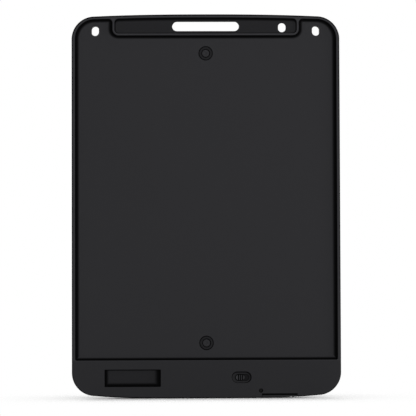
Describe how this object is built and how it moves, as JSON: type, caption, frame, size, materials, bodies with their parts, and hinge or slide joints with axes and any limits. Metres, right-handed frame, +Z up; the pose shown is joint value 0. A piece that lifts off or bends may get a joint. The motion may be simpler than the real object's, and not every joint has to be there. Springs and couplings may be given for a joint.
{
  "type": "lcd writing tablet",
  "caption": "Slim rimmed tablet: moulded back with sunk panel, finger slot and hanging holes, framed writing film, erase key, lock catch and sliding coin-cell drawer.",
  "frame": {"origin": "on the plane of the back face, midway between the two hanging holes", "axes": "+Z up along the tablet's height, +Y from the back face to the writing face, +X to the right as seen from the back"},
  "size_m": [0.18, 0.007, 0.2575],
  "materials": {
    "case_plastic": "fine satin texture",
    "drawer_plastic": "satin",
    "slider_plastic": "satin",
    "key_plastic": "satin",
    "plunger_plastic": "smooth",
    "switch_casing": "tinned sheet",
    "writing_film": "smooth, slightly iridescent",
    "tape_adhesive": "dull",
    "absorbing_black": "dead matt",
    "pad_foam": "closed-cell foam",
    "flex_amber": "smooth",
    "board_green": "solder resist",
    "chip_epoxy": "matt",
    "coil_ferrite": "matt",
    "capacitor_ceramic": "smooth",
    "cell_steel": "nickel-plated",
    "contact_nickel": "nickel-plated spring strip",
    "magnet_coating": "black epoxy coat",
    "screw_black_oxide": "black oxide",
    "screw_zinc": "zinc-plated"
  },
  "bodies": {
    "case": {"back_cover": "case_plastic", "front_frame": "case_plastic", "lcd_film": "writing_film", "film_tape": "tape_adhesive", "black_sheet": "absorbing_black", "support_pad": "pad_foam", "flex_tail": "flex_amber", "circuit_board": "board_green", "driver_chip": "chip_epoxy", "boost_coil": "coil_ferrite", "capacitor_left": "capacitor_ceramic", "capacitor_right": "capacitor_ceramic", "erase_switch": "switch_casing", "slide_switch": "switch_casing", "cell_contact_negative": "contact_nickel", "cell_contact_positive": "contact_nickel", "magnet_top": "magnet_coating", "magnet_bottom": "magnet_coating", "drawer_screw": "screw_black_oxide", "board_screw_left": "screw_zinc", "board_screw_right": "screw_zinc"},
    "erase_key": {"erase_button": "key_plastic", "switch_plunger": "plunger_plastic"},
    "lock_catch": {"lock_slider": "slider_plastic", "slide_actuator": "drawer_plastic"},
    "cell_drawer": {"battery_drawer": "drawer_plastic", "coin_cell": "cell_steel"}
  },
  "joints": [
    {"name": "erase_press", "type": "slide", "parent": "case", "child": "erase_key", "axis": [0, -1, 0], "range_m": [0, 0.0004], "stiffness_N_per_m": 1000, "springref_m": -0.0005},
    {"name": "lock_slide", "type": "slide", "parent": "case", "child": "lock_catch", "axis": [1, 0, 0], "range_m": [0, 0.0026]},
    {"name": "drawer_slide", "type": "slide", "parent": "case", "child": "cell_drawer", "axis": [0, 0, -1], "range_m": [0, 0.024]}
  ]
}
